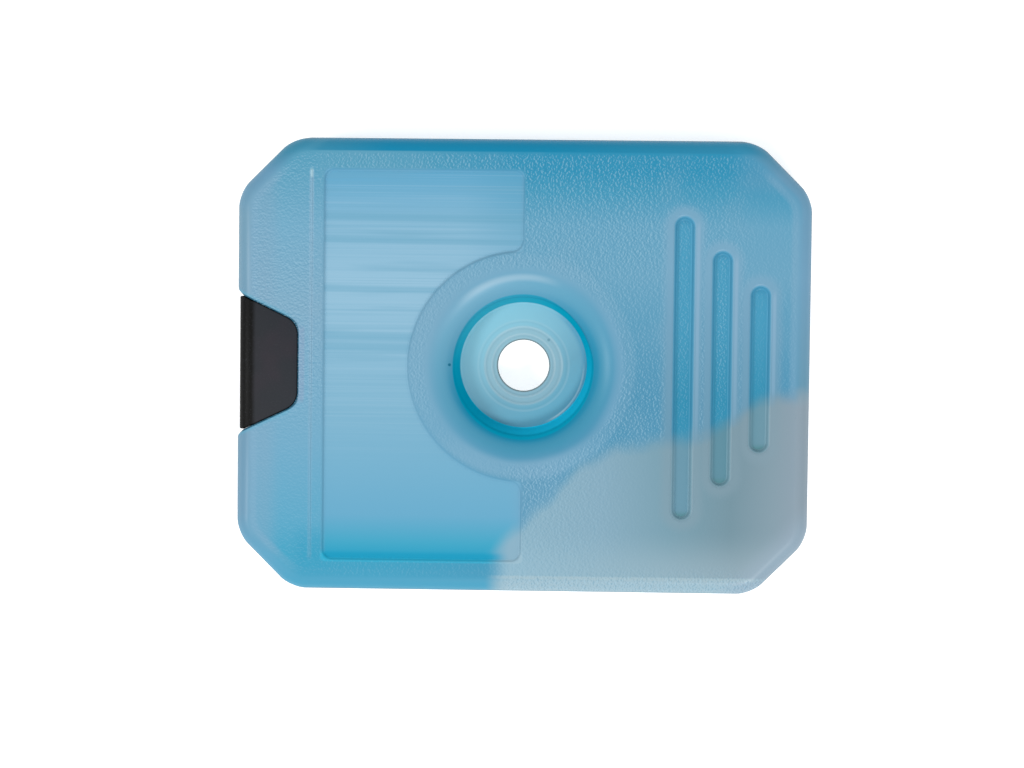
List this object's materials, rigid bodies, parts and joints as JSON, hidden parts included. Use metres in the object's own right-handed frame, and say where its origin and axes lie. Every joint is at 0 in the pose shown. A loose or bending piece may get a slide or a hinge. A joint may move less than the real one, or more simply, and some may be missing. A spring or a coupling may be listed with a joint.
{
  "type": "reusable ice pack",
  "caption": "Flat blow-moulded reusable ice pack, gel filled, with a centre well and through hole, a label recess, side grooves and a covered filler notch.",
  "frame": {"origin": "middle of the pack's outline, on the plane of the back face that it rests on", "axes": "+Z out of the front face, +X along the length away from the filler notch, +Y across the width"},
  "size_m": [0.254, 0.201, 0.0383],
  "materials": {
    "shell": "waxy translucent polyethylene, fine pebbled grain on the faces",
    "gel": "clear blue gel",
    "plug": "satin natural polyethylene",
    "cover": "fine grained black plastic"
  },
  "bodies": {
    "root": {"pack_shell": "shell", "gel_fill": "gel", "filler_plug": "plug", "notch_cover": "cover"}
  },
  "joints": []
}
